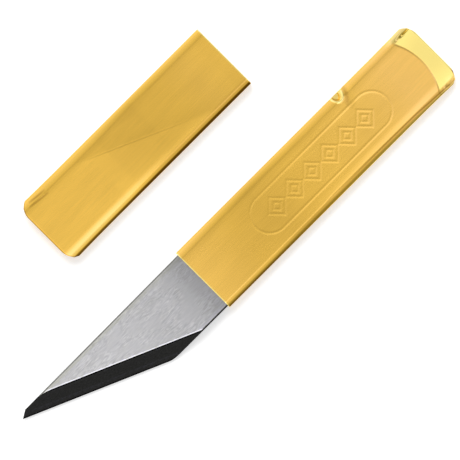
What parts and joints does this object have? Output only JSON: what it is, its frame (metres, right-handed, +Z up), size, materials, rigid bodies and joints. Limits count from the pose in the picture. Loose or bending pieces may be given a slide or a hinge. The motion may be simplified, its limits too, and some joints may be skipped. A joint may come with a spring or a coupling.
{
  "type": "kiridashi knife",
  "caption": "Carving and marking knife: a flat single-bevel blade with a slanted edge, crimped into a pressed sheet-brass handle, and a matching slide-on cap lying beside it.",
  "frame": {"origin": "middle of the handle's flat back, on the surface that the knife lies on", "axes": "+X along the knife towards the blade's tip, +Y towards the side where the cutting edge starts, +Z up through the bevelled front"},
  "size_m": [0.138, 0.0552, 0.0038],
  "materials": {
    "sheet_brass": "satin, brushed lengthwise",
    "clad_iron": "ground lengthwise, with faint forging marks",
    "edge_steel": "ground, dark on the bevel"
  },
  "bodies": {
    "knife": {"handle_sleeve": "sheet_brass", "blade_iron": "clad_iron", "blade_steel": "edge_steel"},
    "cap": {"cap_sleeve": "sheet_brass"}
  },
  "joints": [
    {"name": "cap_slide", "type": "slide", "parent": "knife", "child": "cap", "axis": [1, 0, 0], "range_m": [0, 0.1]}
  ]
}
